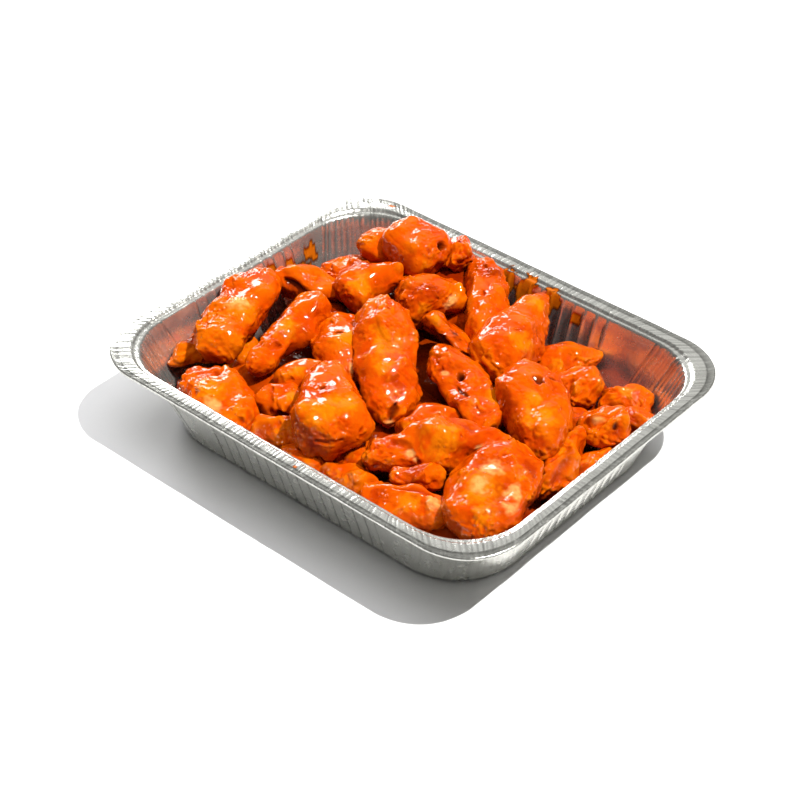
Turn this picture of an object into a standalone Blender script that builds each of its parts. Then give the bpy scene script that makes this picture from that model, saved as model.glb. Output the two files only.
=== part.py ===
"""Chicken wings heaped in a half-size foil tray.

The tray is one thin shell: a rounded rectangle lofted through the rings of its
cross-section, with fluted walls and a rolled rim.  Each wing piece is a lofted
body on its own axis.  The pieces are then pressed against the tray and against
each other, so that they touch like soft food and never overlap.

Sizes are in millimetres and become metres when a mesh is made.
"""
import math

import bmesh
import bpy
import numpy as np

# ---------------------------------------------------------------- driving sizes
MM = 0.001
RIM_LENGTH = 324.0        # over the rolled edge, along X
RIM_WIDTH = 264.0         # over the rolled edge, along Y
TRAY_HEIGHT = 60.0
WALL_DRAFT = 31.0         # how far the base edge lies inside the rim's edge
WALL_LEAN = 18.2          # how far the wall leans out over its rise
WALL_RISE = 57.0
WALL_FOOT = 4.5           # height where the wall's straight part starts
WALL_TOP = 53.0           # and where it ends
RIM_CORNER = 42.0         # corner radius of the rolled edge
BASE_CORNER = 45.0        # corner radius at the base
FOIL = 0.6                # shell thickness

FLUTE_DEPTH = 1.5
FLUTE_PITCH = 9.0
FLUTES_LONG = 15          # flutes along each long wall
FLUTES_SHORT = 10         # flutes along each short wall
CORNER_STEPS = 5

GAP = 0.3                 # left between touching pieces
PRESS_ROUNDS = 80
DIRECTIONS = 500          # tried for each pair's contact plane
SEED = 7

# half widths of a piece along its axis, as shares of its greatest half width
SHAPES = {
    "drum": ((0.0, 0.40), (0.05, 0.55), (0.14, 0.60), (0.22, 0.50), (0.33, 0.54),
             (0.50, 0.80), (0.66, 0.97), (0.80, 1.0), (0.92, 0.92), (1.0, 0.64)),
    "club": ((0.0, 0.28), (0.05, 0.36), (0.14, 0.38), (0.22, 0.41), (0.30, 0.50),
             (0.41, 0.66), (0.53, 0.87), (0.70, 1.0), (0.87, 0.95), (1.0, 0.62)),
    "spindle": ((0.0, 0.42), (0.05, 0.56), (0.14, 0.60), (0.26, 0.62), (0.40, 0.86),
                (0.55, 1.0), (0.70, 0.94), (0.85, 0.72), (1.0, 0.36)),
    "pear": ((0.0, 0.46), (0.12, 0.72), (0.30, 0.96), (0.42, 1.0), (0.60, 0.86),
             (0.80, 0.66), (1.0, 0.40)),
    "egg": ((0.0, 0.28), (0.12, 0.40), (0.24, 0.60), (0.42, 0.80), (0.60, 0.95),
            (0.77, 1.0), (0.90, 0.90), (1.0, 0.58)),
    "flat": ((0.0, 0.62), (0.10, 0.82), (0.25, 0.95), (0.45, 1.0), (0.65, 0.98),
             (0.85, 0.84), (1.0, 0.62)),
    "stub": ((0.0, 0.70), (0.20, 0.92), (0.50, 1.0), (0.80, 0.92), (1.0, 0.70)),
}
# sides round the body and rings along it
COUNTS = {"drum": (9, 9), "club": (10, 9), "spindle": (10, 9), "pear": (10, 9),
          "egg": (10, 9), "flat": (9, 8), "stub": (8, 7)}
UNDER_COUNTS = (8, 6)

# The visible pieces: name, shape, middle, heading of the wide end in degrees from
# +X, rise of the wide end, length, width, thickness, roll in degrees, and how far
# the middle bows up
TOP_PIECES = (
    # along the left wall, the -X one
    ("flat_01", "flat", (-120, -34, 52), 110, 12, 90, 38, 22, 0, 3),
    ("flat_02", "flat", (-110, 32, 46), 30, 0, 70, 40, 20, 40, 0),
    ("drumette_03", "drum", (-81, -28, 52), 98, 4, 86, 30, 28, 0, 0),
    ("flat_04", "flat", (-135, -50, 33), 85, 0, 66, 26, 20, 0, 0),
    ("piece_05", "stub", (-110, -38, 30), 125, 0, 40, 22, 18, 0, 0),
    ("flat_06", "flat", (-76, -95, 43), -15, -6, 66, 40, 20, 0, 0),
    ("flat_07", "flat", (-82, -58, 30), 10, 0, 46, 24, 20, 0, 0),
    ("piece_08", "stub", (-50, -46, 43), 60, 0, 38, 24, 22, 0, 0),
    ("piece_09", "stub", (-50, -64, 38), 35, 0, 36, 28, 24, 0, 0),
    # along the back wall, the +Y one
    ("flat_10", "flat", (-53, -10, 47), -35, -6, 66, 36, 22, 0, 0),
    ("drumette_11", "drum", (-78, 48, 53), -120, -14, 50, 40, 32, 0, 0),
    ("drumette_12", "stub", (-72, 90, 65), 180, 0, 45, 42, 34, 0, 0),
    ("flat_13", "flat", (-95, 88, 58), 45, 0, 40, 32, 22, 0, 0),
    ("flat_14", "flat", (-102, 68, 46), 30, 0, 58, 28, 16, 0, 0),
    ("piece_15", "stub", (-53, 108, 58), 80, -3, 33, 26, 22, 0, 0),
    ("drumette_16", "drum", (-38, 65, 52), -123, 4, 50, 46, 36, 0, 0),
    ("piece_17", "stub", (-22, 73, 34), -140, -6, 36, 24, 18, 0, 0),
    ("drumette_18", "flat", (-10, 89, 50), -50, -12, 90, 28, 26, 0, 0),
    ("drumette_19", "club", (28, 74, 50), -75, -8, 90, 47, 36, 0, 0),
    ("flat_20", "flat", (-3, 45, 46), -10, -6, 52, 36, 14, 50, 0),
    # across the middle
    ("flat_21", "flat", (-16, -5, 51), -45, -30, 100, 42, 28, 0, 0),
    ("flat_22", "flat", (36, 12, 44), -25, -4, 86, 29, 22, 0, 0),
    ("drumette_23", "drum", (55, 85, 33), -120, -2, 54, 34, 26, 0, 0),
    ("piece_24", "stub", (78, 69, 32), -145, -4, 40, 24, 20, 0, 0),
    ("flat_25", "flat", (102, 49, 25), 10, 0, 34, 28, 20, 0, 0),
    ("drumette_26", "pear", (86, 18, 48), -45, -10, 80, 44, 36, 0, 0),
    # the right corner
    ("flat_27", "flat", (113, 90, 25), 35, 0, 50, 36, 18, 0, 0),
    ("piece_28", "stub", (120, 48, 34), -24, -4, 36, 24, 22, 0, 0),
    ("piece_29", "stub", (123, 74, 28), -20, 0, 25, 20, 18, 0, 0),
    # the near corner
    ("drumette_30", "spindle", (62, -48, 45), 46, 2, 92, 42, 36, 0, 0),
    ("piece_31", "stub", (10, -74, 32), -40, -3, 48, 22, 18, 0, 0),
    ("flat_32", "flat", (38, -18, 36), 54, 0, 54, 26, 22, 0, 0),
    ("flat_33", "flat", (112, -56, 48), -70, -4, 82, 50, 28, 0, 0),
    ("flat_34", "flat", (74, -90, 37), 35, 2, 60, 38, 22, 0, 0),
    ("piece_35", "stub", (68, -73, 42), 25, 0, 36, 22, 18, 0, 0),
    ("drumette_36", "egg", (-12, -64, 51), -45, -10, 76, 50, 38, 0, 0),
    ("flat_37", "flat", (-2, -90, 33), 24, 0, 38, 28, 22, 0, 0),
    ("piece_38", "stub", (-31, -87, 35), 30, -2, 44, 17, 14, 0, 0),
    ("flat_39", "flat", (117, 4, 35), -72, -2, 64, 26, 16, 60, 0),
    ("piece_40", "stub", (128, 10, 27), -90, -2, 54, 18, 14, 0, 0),
    ("piece_41", "stub", (30, -90, 28), 12, -3, 45, 24, 20, 0, 0),
    ("flat_42", "flat", (48, 36, 31), -45, -6, 40, 24, 20, 0, 0),
)
# two hidden pieces that carry the high ones at the back and on the left
PROPS = (
    ("under_57", "flat", (-48, 94, 38), 10, 0, 60, 34, 24, 0, 0),
    ("under_58", "flat", (-75, 20, 33), -20, 2, 62, 34, 20, 0, 0),
)

# the hidden layer on the floor: columns of pieces side by side across the tray
FIRST_FLOOR_PIECE = 43
FLOOR_COLUMNS = ((-85.0, 5), (-6.0, 5), (79.0, 4))    # x of the column, pieces in it
FLOOR_REACH = 79.0        # from the middle to the last piece of a column
FLOOR_HEIGHT = 13.5
FLOOR_HEADING = -8.0
FLOOR_LENGTH = 86.0
FLOOR_THICKNESS = 25.0
FLOOR_OVERLAP = 5.0       # how much wider a floor piece is than its share of the column

ROUND_END = 1.45          # above 1, blunts a piece's ends
# unevenness round a piece: waves round it, turn from end to end in radians, amount
WAVES = ((2.0, 3.0, 0.05), (3.0, 5.0, 0.04))
FLOOR_CORNER = 12.0       # height up to which the wall curves into the floor
FLOOR_CORNER_INSET = 5.0


# ---------------------------------------------------------------- scene helpers
def clear_scene():
    for obj in list(bpy.data.objects):
        bpy.data.objects.remove(obj)


def make_collection(name):
    collection = bpy.data.collections.new(name)
    bpy.context.scene.collection.children.link(collection)
    return collection


def make_material(name, colour, roughness, metallic=0.0):
    material = bpy.data.materials.new(name)
    material.use_nodes = True
    shader = material.node_tree.nodes["Principled BSDF"]
    shader.inputs["Base Color"].default_value = (*colour, 1.0)
    shader.inputs["Roughness"].default_value = roughness
    shader.inputs["Metallic"].default_value = metallic
    return material


def finish_object(name, mesh, material, collection, smooth_angle):
    mesh.materials.append(material)
    mesh.shade_smooth()
    mesh.set_sharp_from_angle(angle=math.radians(smooth_angle))
    obj = bpy.data.objects.new(name, mesh)
    collection.objects.link(obj)
    return obj


# ---------------------------------------------------------------- foil tray
def ring_stations():
    """Places round the tray: (corner, angle) on an arc, or (side, share, flute)."""
    sides = (FLUTES_LONG, FLUTES_SHORT, FLUTES_LONG, FLUTES_SHORT)
    stations = []
    for index, flutes in enumerate(sides):
        start = -90.0 + 90.0 * (index - 1)
        for step in range(CORNER_STEPS + 1):
            angle = math.radians(start + 90.0 * step / CORNER_STEPS)
            stations.append(("arc", index, angle, 0.0))
        for half in range(2 * flutes + 1):
            offset = (half - flutes) * FLUTE_PITCH / 2.0
            stations.append(("side", index, offset, float(half % 2)))
    return stations


def ring_points(stations, inset, height, flute):
    """One ring of the tray, INSET from the rim's edge, at HEIGHT."""
    half_x = RIM_LENGTH / 2.0 - inset
    half_y = RIM_WIDTH / 2.0 - inset
    radius = RIM_CORNER + (BASE_CORNER - RIM_CORNER) * inset / WALL_DRAFT
    corners = ((-1, -1), (1, -1), (1, 1), (-1, 1))
    sides = ((0, -1), (1, 0), (0, 1), (-1, 0))
    points = []
    for kind, index, value, weight in stations:
        if kind == "arc":
            sign_x, sign_y = corners[index]
            points.append((sign_x * (half_x - radius) + radius * math.cos(value),
                           sign_y * (half_y - radius) + radius * math.sin(value),
                           height))
            continue
        normal_x, normal_y = sides[index]
        inward = flute * weight
        points.append((normal_x * (half_x - inward) - normal_y * value,
                       normal_y * (half_y - inward) + normal_x * value,
                       height))
    return points


def wall_inset(height):
    """How far the wall's outside lies inside the rim's edge."""
    return WALL_DRAFT - WALL_LEAN * height / WALL_RISE


def tray_section():
    """Rings of the shell: (inset, height, flute depth), outside first."""
    deep = FLUTE_DEPTH
    outside = (
        (WALL_DRAFT + 3.0, 0.0, 0.0),
        (wall_inset(WALL_FOOT), WALL_FOOT, 0.6 * deep),
        (wall_inset(WALL_TOP), WALL_TOP, deep),
        (10.6, 57.6, 0.0),
        (3.4, 58.3, 0.0),
        (1.6, 56.8, 0.0),
    )
    rim = (
        (0.0, 58.4, 0.0),
        (1.6, TRAY_HEIGHT, 0.0),
        (3.0, 59.1, 0.0),
        (9.6, 59.0, 0.0),
        (11.0, 57.2, 0.0),
        (12.9, 57.0, 0.0),
    )
    inside = (
        (wall_inset(WALL_TOP) + FOIL, WALL_TOP, deep),
        (wall_inset(WALL_FOOT) + FOIL, WALL_FOOT + FOIL, 0.6 * deep),
        (WALL_DRAFT + 3.0, FOIL, 0.0),
    )
    return outside + rim + inside


def build_tray(collection):
    stations = ring_stations()
    mesh_data = bmesh.new()
    rings = []
    for inset, height, flute in tray_section():
        ring = []
        for point in ring_points(stations, inset, height, flute):
            ring.append(mesh_data.verts.new([MM * value for value in point]))
        rings.append(ring)
    count = len(stations)
    for lower, upper in zip(rings, rings[1:]):
        for here in range(count):
            after = (here + 1) % count
            mesh_data.faces.new((lower[here], lower[after], upper[after], upper[here]))
    mesh_data.faces.new(list(reversed(rings[0])))
    mesh_data.faces.new(rings[-1])
    bmesh.ops.recalc_face_normals(mesh_data, faces=mesh_data.faces)
    mesh = bpy.data.meshes.new("foil_tray")
    mesh_data.to_mesh(mesh)
    mesh_data.free()
    foil = make_material("tray_foil", (0.80, 0.80, 0.77), 0.28, 1.0)
    return finish_object("foil_tray", mesh, foil, collection, 40.0)


# ---------------------------------------------------------------- wing pieces
def unit(vector):
    return vector / np.linalg.norm(vector)


def loft_piece(row, counts, rng):
    """A sphere's rings laid along the piece's axis, as corner points and faces."""
    _, shape, middle, heading, rise, length, width, thickness, roll, bow = row
    sides, rings = counts
    ball = bmesh.new()
    bmesh.ops.create_uvsphere(ball, u_segments=sides, v_segments=rings, radius=1.0)
    points = np.array([vert.co[:] for vert in ball.verts])
    faces = [[vert.index for vert in face.verts] for face in ball.faces]
    ball.free()

    level = math.sqrt(length ** 2 - rise ** 2)
    bearing = math.radians(heading)
    axis = unit(np.array((level * math.cos(bearing), level * math.sin(bearing), rise)))
    start = np.array(middle, float) - 0.5 * length * axis
    across = unit(np.cross((0.0, 0.0, 1.0), axis))
    above = np.cross(axis, across)
    turn = math.radians(roll)
    wide = math.cos(turn) * across - math.sin(turn) * above
    thick = math.cos(turn) * above + math.sin(turn) * across

    along = (points[:, 2] + 1.0) / 2.0
    stops, shares = zip(*SHAPES[shape])
    reach = np.interp(along, stops, shares)
    round_end = np.minimum(1.0, ROUND_END * np.hypot(points[:, 0], points[:, 1]))
    angle = np.arctan2(points[:, 1], points[:, 0])
    phase = rng.uniform(0.0, 2.0 * math.pi, 3)
    uneven = 1.0
    for (sides_count, twist, amount), offset in zip(WAVES, phase):
        uneven = uneven + amount * np.sin(sides_count * angle + offset + twist * along)
    radius = reach * round_end * uneven / 2.0
    lift = bow * 4.0 * along * (1.0 - along)
    placed = (start + np.outer(along * length, axis)
              + np.outer(radius * width * np.cos(angle), wide)
              + np.outer(radius * thickness * np.sin(angle) + lift, thick))
    return placed, faces


def trial_directions():
    """Unit vectors spread evenly over the whole sphere."""
    index = np.arange(DIRECTIONS) + 0.5
    height = 1.0 - 2.0 * index / DIRECTIONS
    angle = math.pi * (1.0 + math.sqrt(5.0)) * index
    ring = np.sqrt(1.0 - height ** 2)
    return np.stack((ring * np.cos(angle), ring * np.sin(angle), height), axis=1)


def contact_plane(first, second, directions):
    """The direction from FIRST to SECOND along which they overlap least."""
    def overlap(tried):
        return (first @ tried.T).max(axis=0) - (second @ tried.T).min(axis=0)

    best = directions[np.argmin(overlap(directions))]
    for spread in (0.12, 0.05, 0.02):
        near = best + spread * directions
        near = near / np.linalg.norm(near, axis=1)[:, None]
        near = np.vstack((near, best))
        best = near[np.argmin(overlap(near))]
    return best, float(overlap(best[None, :])[0])


def keep_in_tray(points):
    """Move points to the tray's inside."""
    height = np.maximum(points[:, 2], FOIL + GAP)
    low = np.clip(1.0 - height / FLOOR_CORNER, 0.0, 1.0)
    inset = (wall_inset(np.minimum(height, WALL_RISE))
             + FOIL + FLUTE_DEPTH + 2.0 * GAP + FLOOR_CORNER_INSET * low ** 2)
    half_x = RIM_LENGTH / 2.0 - inset
    half_y = RIM_WIDTH / 2.0 - inset
    radius = RIM_CORNER + (BASE_CORNER - RIM_CORNER) * inset / WALL_DRAFT
    x = np.clip(points[:, 0], -half_x, half_x)
    y = np.clip(points[:, 1], -half_y, half_y)
    over_x = np.maximum(np.abs(x) - (half_x - radius), 0.0)
    over_y = np.maximum(np.abs(y) - (half_y - radius), 0.0)
    reach = np.hypot(over_x, over_y)
    shrink = np.minimum(1.0, radius / np.maximum(reach, 1e-6))
    x = x - np.sign(x) * over_x * (1.0 - shrink)
    y = y - np.sign(y) * over_y * (1.0 - shrink)
    return np.stack((x, y, height), axis=1)


def press_together(shapes):
    """Flatten each pair where they meet, the lower one more, GAP apart."""
    directions = trial_directions()
    planes = [[] for _ in shapes]
    for here, first in enumerate(shapes):
        for there in range(here + 1, len(shapes)):
            second = shapes[there]
            apart = np.maximum(first.min(axis=0) - second.max(axis=0),
                               second.min(axis=0) - first.max(axis=0))
            if apart.max() > GAP:
                continue
            normal, depth = contact_plane(first, second, directions)
            if depth < -GAP:
                continue
            rise = first[:, 2].mean() - second[:, 2].mean()
            share = 0.5 - 0.35 * np.clip(rise / 10.0, -1.0, 1.0)
            level = (first @ normal).max() - share * (depth + GAP)
            planes[here].append((normal, level))
            planes[there].append((-normal, -(level + GAP)))
    pressed = []
    for points, walls in zip(shapes, planes):
        points = points.copy()
        for _ in range(PRESS_ROUNDS):
            points = keep_in_tray(points)
            for normal, level in walls:
                beyond = np.maximum(points @ normal - level, 0.0)
                points -= np.outer(beyond, normal)
        pressed.append(points)
    return pressed


def floor_pieces():
    """Rows like TOP_PIECES for the hidden layer on the floor."""
    rows = []
    for x, count in FLOOR_COLUMNS:
        pitch = 2.0 * FLOOR_REACH / (count - 1)
        for place in range(count):
            middle = (x, place * pitch - FLOOR_REACH, FLOOR_HEIGHT)
            name = "under_" + str(FIRST_FLOOR_PIECE + len(rows))
            rows.append((name, "flat", middle, FLOOR_HEADING, 0, FLOOR_LENGTH,
                         pitch + FLOOR_OVERLAP, FLOOR_THICKNESS, 0, 0))
    return rows


def build_wings(collection):
    rng = np.random.default_rng(SEED)
    skin = make_material("sauced_skin", (0.80, 0.15, 0.01), 0.25)
    rows = []
    for row in TOP_PIECES:
        rows.append((row, COUNTS[row[1]]))
    for row in floor_pieces():
        rows.append((row, UNDER_COUNTS))
    for row in PROPS:
        rows.append((row, UNDER_COUNTS))
    lofts = [loft_piece(row, counts, rng) for row, counts in rows]
    pressed = press_together([points for points, _ in lofts])
    for (row, _), (_, faces), points in zip(rows, lofts, pressed):
        mesh = bpy.data.meshes.new(row[0])
        mesh.from_pydata((points * MM).tolist(), [], faces)
        finish_object(row[0], mesh, skin, collection, 75.0)


def main():
    clear_scene()
    collection = make_collection("chicken_wings_in_foil_tray")
    build_tray(collection)
    build_wings(collection)


main()
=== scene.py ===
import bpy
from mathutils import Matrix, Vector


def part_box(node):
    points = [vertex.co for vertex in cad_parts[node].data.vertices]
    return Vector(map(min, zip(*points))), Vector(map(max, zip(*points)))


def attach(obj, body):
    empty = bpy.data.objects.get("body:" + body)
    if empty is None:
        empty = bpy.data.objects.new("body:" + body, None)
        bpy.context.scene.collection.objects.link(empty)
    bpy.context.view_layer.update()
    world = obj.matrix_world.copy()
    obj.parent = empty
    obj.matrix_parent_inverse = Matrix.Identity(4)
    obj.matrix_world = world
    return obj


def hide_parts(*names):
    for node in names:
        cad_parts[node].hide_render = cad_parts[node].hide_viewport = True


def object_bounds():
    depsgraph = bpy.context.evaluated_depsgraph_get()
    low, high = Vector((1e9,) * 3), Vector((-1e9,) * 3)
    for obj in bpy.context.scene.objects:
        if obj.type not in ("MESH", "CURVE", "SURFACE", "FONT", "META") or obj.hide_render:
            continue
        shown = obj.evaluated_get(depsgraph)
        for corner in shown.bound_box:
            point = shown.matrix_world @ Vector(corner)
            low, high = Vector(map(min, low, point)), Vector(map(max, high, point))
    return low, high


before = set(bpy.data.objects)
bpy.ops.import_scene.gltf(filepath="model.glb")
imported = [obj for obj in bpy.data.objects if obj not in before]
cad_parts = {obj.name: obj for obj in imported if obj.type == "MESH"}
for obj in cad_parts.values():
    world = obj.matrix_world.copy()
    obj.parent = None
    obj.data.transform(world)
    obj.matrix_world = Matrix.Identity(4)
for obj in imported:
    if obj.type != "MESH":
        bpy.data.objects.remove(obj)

"""Looks for the chicken wings in their foil tray.

Each wing node is replaced by a mesh grown from that node's own solid: it is
remeshed, smoothed and swollen, and then its skin is raised and sunk by noise
and by the features listed for it.  The tray is replaced by a finer shell with
its flutes, pleats, crimps and rolled rim.  Sizes are in millimetres unless a
comment says otherwise.
"""
import itertools
import math

import bpy
import numpy as np
from mathutils import Matrix, Vector

CAD_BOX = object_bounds()
MM = 0.001
SEED = 11

# ---------------------------------------------------------------- camera and light
TARGET = (0.0, 0.0, 30.0)
CAMERA_AZIMUTH = 40.85          # degrees from straight in front, towards +X
CAMERA_ELEVATION = 37.86        # degrees
CAMERA_ROLL = 0.37              # degrees
CAMERA_DISTANCE = 1278.0
CAMERA_ASIDE = (-6.5, -4.25)    # right and up, from straight at the target
LENS = 89.7
SENSOR_WIDTH = 36.0
CLIP_END = 20.0                 # metres
SUN_DIRECTION = (25.6, 11.0, 58.0)
SUN_ENERGY = 5.5
SUN_ANGLE = 1.0                 # degrees
SUN_COLOUR = (1.0, 0.985, 0.96)
WORLD_STRENGTH = 0.045
# name, direction, width and height in metres, radiance, shows in glossy surfaces
SOFTBOXES = (
    ("softbox_left", (-0.80, 0.46, 0.40), 0.78, 0.36, 14.0, True),
    ("card_behind", (-0.52, 0.60, 0.61), 1.5, 1.2, 0.48, True),
    ("fill_above", (-0.08, -0.06, 1.0), 1.5, 1.3, 2.9, False),
)
SOFTBOX_DISTANCE = 1.5          # metres
FLOOR_HALF = 4.0                # metres
FLOOR_COLOUR = (0.76, 0.76, 0.77, 1.0)

# ---------------------------------------------------------------- wing pieces
CORE_STEP = 3.0                 # voxel size of the rounded core
CORE_SMOOTHING = 6              # rounds of smoothing on the core
REMESH_STEP = 1.75              # voxel size of a visible piece, before it is subdivided
UNDER_STEP = 2.0                # voxel size of an under piece, which isn't subdivided
SMOOTHING = 4                   # rounds of smoothing on the finer mesh
SWELL = 2.3                     # how far a visible piece's core is swollen
UNDER_SWELL = 3.5               # how far an under piece's core is swollen
SIDE_SAUCE_AND_SHADE = 0.25               # how red an upright side is, more so facing down: sauce running down, and painted shade
WARP = 4.2                      # broad unevenness
WARP_SIZE = 23.0
SMALL_WARP = 1.5                # small unevenness
SMALL_WARP_SIZE = 9.0
CLEARANCE = 1.3                 # least distance from the tray's outer surface
END_CRISPNESS = 0.75            # how crisp a piece's two ends can be
MARGIN_CRISPNESS = 0.65         # how crisp its lower sides can be
UNDER_RED_AND_SHADE = 0.8                 # under pieces lie in thick sauce; they are painted dark red as painted shade between the pieces
UNDER_PAINTED_SHADE = 0.35

# how far across each kind of unevenness in the skin is; three values run along the
# piece's long, middle and short directions
LUMP_SIZE = 24.0
SMALL_LUMP_SIZE = 10.0
RIPPLE_SIZE = np.array((22.0, 8.0, 8.0))
FOLD_SIZE = np.array((46.0, 19.0, 19.0))
WRINKLE_SIZE = 8.0
PATCH_SIZE = 13.0
PIMPLE_SIZE = 3.4
GRAIN_SIZE = 4.0
CRUST_SIZE = 5.0
CRISP_PATCH_SIZE = 14.0
BLISTER_SIZE = 4.2

# how the skin of each kind is disturbed: lumps, folds, pimples, crisp bits, in mm,
# and its share of the warp
SKINS = {
    "smooth": (1.1, 0.6, 0.4, 0.0, 0.6),
    "skin": (1.3, 0.9, 0.5, 0.12, 0.85),
    "pimply": (1.4, 1.0, 0.6, 0.35, 0.95),
    "crisp": (1.5, 1.3, 0.7, 0.9, 1.2),
}
SKIN_OF = {
    "flat_01": "pimply", "flat_02": "skin", "drumette_03": "smooth", "flat_04": "crisp",
    "piece_05": "crisp", "flat_06": "skin", "flat_07": "smooth", "piece_08": "smooth",
    "piece_09": "skin", "flat_10": "skin", "drumette_11": "smooth", "drumette_12": "smooth",
    "flat_13": "smooth", "flat_14": "crisp", "piece_15": "crisp", "drumette_16": "pimply",
    "piece_17": "crisp", "drumette_18": "skin", "drumette_19": "smooth", "flat_20": "skin",
    "flat_21": "skin", "flat_22": "pimply", "drumette_23": "pimply", "piece_24": "crisp",
    "flat_25": "crisp", "drumette_26": "skin", "flat_27": "crisp", "piece_28": "crisp",
    "piece_29": "crisp", "drumette_30": "skin", "piece_31": "crisp", "flat_32": "skin",
    "flat_33": "smooth", "flat_34": "pimply", "piece_35": "crisp", "drumette_36": "smooth",
    "flat_37": "skin", "piece_38": "crisp", "flat_39": "crisp", "piece_40": "crisp",
    "piece_41": "crisp", "flat_42": "crisp",
}
UNDER_SKIN = "pimply"
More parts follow.
